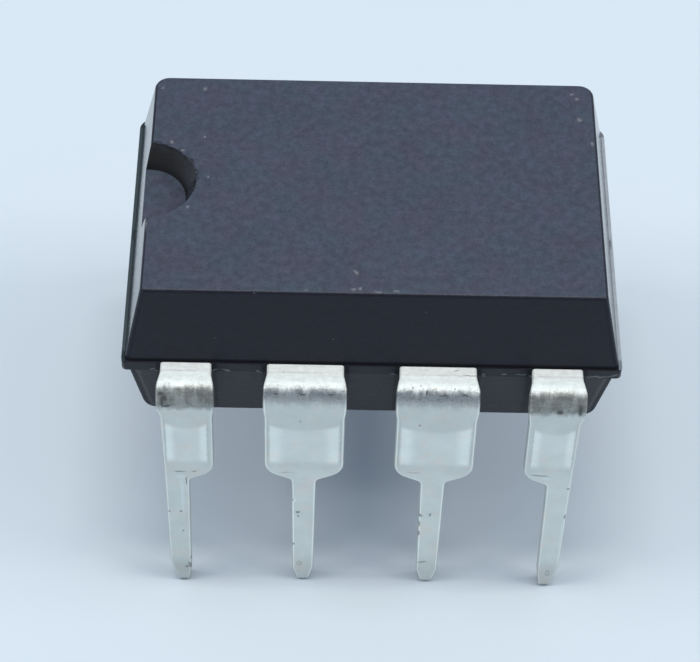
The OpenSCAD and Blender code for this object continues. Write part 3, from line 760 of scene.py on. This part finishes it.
class PACKAGE_OT_body(bpy.types.Operator):
    """Moulded body with its rim, notch and softened edges"""
    bl_idname = "package.body"
    bl_label = "Moulded Body"

    def execute(self, context):
        settings = context.scene.mould
        thickness = context.scene.leads.thickness
        frame_low = FRAME_TOP - thickness
        overlap = thickness / 4
        rim = block((BODY_LOW.x, BODY_LOW.y, frame_low), (BODY_HIGH.x, BODY_HIGH.y, FRAME_TOP))
        upper_radii = (settings.back_radius, settings.front_radius)
        round_uprights(rim, thickness / 2, *upper_radii)
        upper = mould_half(settings, BODY_HIGH.z - FRAME_TOP, settings.upper_side_draft,
                           settings.upper_end_draft, upper_radii, overlap)
        bmesh.ops.translate(upper, vec=(0.0, 0.0, FRAME_TOP), verts=upper.verts)
        lower = mould_half(settings, frame_low - BODY_LOW.z, settings.lower_draft,
                           settings.lower_draft, (settings.lower_radius,) * 2, overlap)
        bmesh.ops.scale(lower, vec=(1.0, 1.0, -1.0), verts=lower.verts)
        bmesh.ops.translate(lower, vec=(0.0, 0.0, frame_low), verts=lower.verts)
        notch = bmesh.new()
        past = settings.notch_depth
        lean = math.tan(settings.notch_draft)
        bmesh.ops.create_cone(
            notch, cap_ends=True, segments=NOTCH_SEGMENTS, depth=settings.notch_depth + past,
            radius1=settings.notch_radius - settings.notch_depth * lean,
            radius2=settings.notch_radius + past * lean)
        bmesh.ops.translate(notch, vec=(-settings.notch_centre, 0.0, BODY_HIGH.z), verts=notch.verts)
        material = compound_material(settings, context.scene.leads)
        body = finished_object("mould_compound_body", rim, material, "molded_body")
        combine(body, [(new_object("upper_half", upper), "UNION"),
                       (new_object("lower_half", lower), "UNION"),
                       (new_object("notch", notch), "DIFFERENCE")])
        soft = body.modifiers.new("worn_edges", "BEVEL")
        soft.width = settings.worn_edge
        soft.segments = 2
        soft.limit_method = "ANGLE"
        soft.angle_limit = WORN_EDGE_ANGLE
        apply_modifiers(body)
        smooth_by_angle(body, BODY_SHARP_ANGLE)
        return {"FINISHED"}


# Leads

class Forming:
    """Maps the flat blank of a lead (across, along) to the formed lead."""

    def __init__(self, settings, splay):
        self.inner = settings.bend_radius
        self.outer = settings.bend_radius + settings.thickness
        self.start = settings.row_spacing / 2 - settings.bend_radius - settings.thickness / 2
        self.centre_z = FRAME_TOP - self.outer
        self.turn = math.pi / 2 - splay
        self.arc = self.outer * self.turn
        self.tip = self.along(0.0) - settings.thickness * math.cos(self.turn)

    def along(self, z):
        """Distance along the outer face from the bend's start to a height on the leg."""
        return self.arc + (self.centre_z + self.outer * math.cos(self.turn) - z) / math.sin(self.turn)

    def formed(self, along, depth):
        """Distance from the middle and height of a point; depth is counted from the inner face."""
        radius = self.inner + depth
        if along <= 0.0:
            return self.start + along, self.centre_z + radius
        turned = min(along, self.arc) / self.outer
        straight = max(along - self.arc, 0.0)
        return (self.start + radius * math.sin(turned) + straight * math.cos(turned),
                self.centre_z + radius * math.cos(turned) - straight * math.sin(turned))


def lead_place(settings, number):
    """Place of a lead in its row, the row's side, whether the lead ends it, and its forming."""
    column = (number - 2.5 if number <= 4 else 6.5 - number) * settings.pitch
    row = -1.0 if number <= 4 else 1.0
    at_end = abs(column) > settings.pitch
    return column, row, at_end, Forming(settings, settings.end_splay if at_end else settings.splay)


def shoulder_flank(settings, forming, shift):
    """Edge of a blank beside a shoulder, from the dam bar to the foot: (across, along)."""
    half = settings.shoulder_width / 2
    foot = settings.leg_width / 2 + shift
    corner = settings.leg_length + (half - foot) * math.tan(settings.foot_slope)
    return dam_flank(settings, forming, settings.exit_width / 2, half, settings.dam_stub) + [
        (half, forming.along(corner)),
        (foot, forming.along(settings.leg_length)),
    ]


def dam_flank(settings, forming, at_exit, half, stub):
    """Edge of a blank from the body over the dam bar to the shoulder."""
    dam = FRAME_TOP - settings.thickness - settings.dam_drop
    return [
        (at_exit, -settings.flare_before),
        (half + stub, settings.flare_after),
        (half + stub, forming.along(dam)),
        (half, forming.along(dam - settings.dam_fade)),
    ]


def tip_flank(settings, forming, shift, tip_shift, taper):
    """Edge of a blank along the tapered tip."""
    return [
        (shift + settings.leg_low_width / 2, forming.along(taper)),
        (shift + tip_shift + settings.tip_width / 2, forming.tip),
    ]


def dented(flank, at, deep, tall):
    """The same edge with a small dent at a place along the narrow leg."""
    for index, (low, high) in enumerate(zip(flank, flank[1:])):
        if low[1] < at - tall and high[1] > at + tall:
            slope = (high[0] - low[0]) / (high[1] - low[1])
            edge = [(low[0] + slope * (at + step * tall - low[1]) - cut * deep, at + step * tall)
                    for step, cut in ((-1.0, 0.0), (-0.4, 1.0), (0.3, 0.8), (1.0, 0.0))]
            return flank[:index + 1] + edge + flank[index + 1:]
    raise RuntimeError("The dent isn't on the narrow leg")


def blank_outline(settings, forming, number, at_end):
    """Outline of a lead's flat blank, from its outer side round the tip to its inner side."""
    taper = settings.tip_height
    wide = shoulder_flank(settings, forming, settings.end_shift if at_end else 0.0)
    if at_end:
        outer = dam_flank(settings, forming, settings.end_half_width,
                          settings.end_half_width, settings.end_stub)
        outer += [(settings.leg_width / 2 - settings.end_shift, forming.along(settings.leg_length))]
        outer += tip_flank(settings, forming, -settings.end_shift, -settings.end_tip_shift,
                           settings.end_tip_height)
        inner = wide + tip_flank(settings, forming, settings.end_shift, settings.end_tip_shift, taper)
    else:
        outer = wide + tip_flank(settings, forming, 0.0, 0.0, taper)
        inner = list(outer)
    for side, at, deep, tall in DENTS.get(number, ()):
        if side > 0.0:
            outer = dented(outer, at * MM, deep * MM, tall * MM)
        else:
            inner = dented(inner, at * MM, deep * MM, tall * MM)
    root = -0.6 * MM
    outline = [(outer[0][0], root)] + outer
    outline += [(-across, along) for across, along in reversed(inner)] + [(-inner[0][0], root)]
    return outline


def lead_mesh(settings, number):
    """A lead stamped as a flat blank, its edges rounded, then bent round its corner."""
    column, row, at_end, forming = lead_place(settings, number)
    side = math.copysign(1.0, column)
    lead = bmesh.new()
    corners = [lead.verts.new((across, along, 0.0))
               for across, along in blank_outline(settings, forming, number, at_end)]
    lead.faces.new(corners)
    half_turn = math.tan((math.pi / 2 - settings.foot_slope) / 2)
    foot = forming.along(settings.leg_length)
    wide = settings.shoulder_width / 2 - SMALL
    round_corners(lead, [vertex for vertex in corners
                         if abs(vertex.co.x) > wide and vertex.co.y > forming.arc * 2],
                  settings.shoulder_radius * half_turn, CORNER_SEGMENTS)
    round_corners(lead, [vertex for vertex in lead.verts
                         if abs(vertex.co.y - foot) < SMALL
                         and abs(vertex.co.x) > settings.leg_width / 2 - SMALL],
                  settings.foot_radius * half_turn, EDGE_SEGMENTS)
    round_corners(lead, [vertex for vertex in lead.verts if abs(vertex.co.y - forming.tip) < SMALL],
                  settings.tip_radius, EDGE_SEGMENTS)
    lifted = bmesh.ops.extrude_face_region(lead, geom=lead.faces[:])["geom"]
    top = [item for item in lifted if isinstance(item, bmesh.types.BMVert)]
    bmesh.ops.translate(lead, vec=(0.0, 0.0, settings.thickness), verts=top)
    bmesh.ops.recalc_face_normals(lead, faces=lead.faces)
    sheared = [edge for edge in lead.edges
               if abs(edge.verts[0].co.z - edge.verts[1].co.z) < settings.thickness / 2]
    round_edges(lead, sheared, settings.sheared_edge, EDGE_SEGMENTS)
    for step in range(BEND_STEPS + 1):
        cut_at = forming.arc * step / BEND_STEPS
        bmesh.ops.bisect_plane(
            lead, geom=lead.verts[:] + lead.edges[:] + lead.faces[:],
            dist=1e-7, plane_co=(0.0, cut_at, 0.0), plane_no=(0.0, 1.0, 0.0))
    depth = lead.verts.layers.float.new("Depth")
    for vertex in lead.verts:
        vertex[depth] = vertex.co.z / settings.thickness
    developed = lead.loops.layers.uv.new("Developed")
    for face in lead.faces:
        for loop in face.loops:
            loop[developed].uv = (loop.vert.co.x / MM, loop.vert.co.y / MM)
    for vertex in lead.verts:
        away, height = forming.formed(vertex.co.y, vertex.co.z)
        vertex.co = (column + side * vertex.co.x, row * away, height)
    return lead


class PACKAGE_OT_leads(bpy.types.Operator):
    """Eight formed leads with rounded sheared edges"""
    bl_idname = "package.leads"
    bl_label = "Leads"

    def execute(self, context):
        settings = context.scene.leads
        for number, node in enumerate(LEADS, start=1):
            material = tin_material(settings, number)
            lead = finished_object(f"formed_{node}", lead_mesh(settings, number), material,
                                   node)
            smooth_by_angle(lead, LEAD_SHARP_ANGLE)
        return {"FINISHED"}


class PACKAGE_OT_sealed(bpy.types.Operator):
    """Finishes of the paddle, the glue, the chip and the wires inside the moulding"""
    bl_idname = "package.sealed"
    bl_label = "Sealed Pieces"

    def execute(self, context):
        finishes = {
            "die_paddle": plain_material("paddle_alloy", (0.62, 0.47, 0.36), 1.0, 0.3, 20.0),
            "die_attach": plain_material("die_glue", (0.45, 0.45, 0.46), 0.0, 0.6, 30.0),
            "die": plain_material("silicon", (0.16, 0.18, 0.24), 0.0, 0.2, 12.0),
        }
        gold = plain_material("bond_gold", (0.83, 0.66, 0.25), 1.0, 0.2, 60.0)
        finishes.update({wire: gold for wire in WIRES})
        for node, material in finishes.items():
            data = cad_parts[node].data
            data.materials.clear()
            data.materials.append(material)
        return {"FINISHED"}


# Studio

def floor_material(settings):
    """Smooth pale floor with a very faint paper grain."""
    look = Look("pale_floor")
    cloud = look.noise(look.place(), 0.05, 2.0, 0.5)
    darker = tinged(settings.floor, 0.98, 0.98, 0.98)
    look.set(Base_Color=look.mix(look.ramp(cloud, 0.2, 0.8), settings.floor, darker),
               Roughness=0.9)
    return look.material


def soft_lamp(name, place, size, power, rgb):
    """A rectangular lamp that shines on the middle of the package."""
    lamp = bpy.data.lights.new(name, "AREA")
    lamp.shape = "RECTANGLE"
    lamp.size, lamp.size_y = size
    lamp.energy = power
    lamp.color = rgb
    holder = linked_object(name, lamp)
    holder.location = place
    holder.rotation_euler = (LAMP_TARGET - Vector(place)).to_track_quat("-Z", "Y").to_euler()


def set_world(settings):
    """Even daylight from all round."""
    world = bpy.data.worlds.new("daylight")
    bpy.context.scene.world = world
    world.use_nodes = True
    background = world.node_tree.nodes["Background"]
    background.inputs["Color"].default_value = (*settings.daylight, 1.0)
    background.inputs["Strength"].default_value = settings.daylight_strength


def set_camera(settings):
    """Camera in front of the package, looking down on it."""
    camera = bpy.data.cameras.new("camera")
    camera.sensor_fit = "HORIZONTAL"
    camera.sensor_width = 36.0
    camera.lens = settings.focal_length
    camera.clip_start = 1.0 * MM
    camera.clip_end = 10.0
    holder = linked_object("camera", camera)
    turn, pitch, roll = settings.camera_turn, settings.camera_pitch, settings.camera_roll
    ahead = Vector((math.sin(turn) * math.cos(pitch), math.cos(turn) * math.cos(pitch), -math.sin(pitch)))
    right = Vector((math.cos(turn), -math.sin(turn), 0.0))
    above = right.cross(ahead)
    rolled_right = math.cos(roll) * right + math.sin(roll) * above
    rolled_above = -math.sin(roll) * right + math.cos(roll) * above
    axes = Matrix((rolled_right, rolled_above, -ahead)).transposed()
    holder.matrix_world = Matrix.Translation(settings.camera_place) @ axes.to_4x4()
    bpy.context.scene.camera = holder


class PACKAGE_OT_studio(bpy.types.Operator):
    """Pale floor, soft light and the camera"""
    bl_idname = "package.studio"
    bl_label = "Studio"

    def execute(self, context):
        settings = context.scene.studio
        floor = bmesh.new()
        bmesh.ops.create_grid(floor, x_segments=1, y_segments=1, size=0.5)
        mesh = bpy.data.meshes.new("floor")
        floor.to_mesh(mesh)
        floor.free()
        mesh.materials.append(floor_material(settings))
        ground = linked_object("floor", mesh)
        set_world(settings)
        rgb = settings.lamplight
        soft_lamp("top_light", (0.0, 0.003, 0.12), (0.05, 0.01), settings.top_power, rgb)
        for name, x in (("left_light", -0.077), ("right_light", 0.077)):
            soft_lamp(name, (x, -0.006, 0.092), (0.05, 0.03), settings.side_power, rgb)
        set_camera(settings)
        context.scene.view_settings.view_transform = "Standard"
        return {"FINISHED"}


OPERATORS = (PACKAGE_OT_body, PACKAGE_OT_leads, PACKAGE_OT_sealed, PACKAGE_OT_studio)


class PACKAGE_PT_pieces(bpy.types.Panel):
    """Sizes, colours and steps of the package"""
    bl_idname = "PACKAGE_PT_pieces"
    bl_label = "Package"
    bl_space_type = "VIEW_3D"
    bl_region_type = "UI"
    bl_category = "Package"

    def draw(self, context):
        for operator in OPERATORS:
            self.layout.operator(operator.bl_idname)
        for name in SETTINGS:
            box = self.layout.box()
            group = getattr(context.scene, name)
            for key in group.bl_rna.properties.keys():
                if key not in ("rna_type", "name"):
                    box.prop(group, key)


def register():
    for name, group in SETTINGS.items():
        bpy.utils.register_class(group)
        setattr(bpy.types.Scene, name, bpy.props.PointerProperty(type=group))
    for operator in OPERATORS:
        bpy.utils.register_class(operator)
    bpy.utils.register_class(PACKAGE_PT_pieces)


def unregister():
    bpy.utils.unregister_class(PACKAGE_PT_pieces)
    for operator in reversed(OPERATORS):
        bpy.utils.unregister_class(operator)
    for name, group in reversed(SETTINGS.items()):
        delattr(bpy.types.Scene, name)
        bpy.utils.unregister_class(group)


def main():
    register()
    bpy.ops.package.body()
    bpy.ops.package.leads()
    bpy.ops.package.sealed()
    bpy.ops.package.studio()


if __name__ == "__main__":
    main()
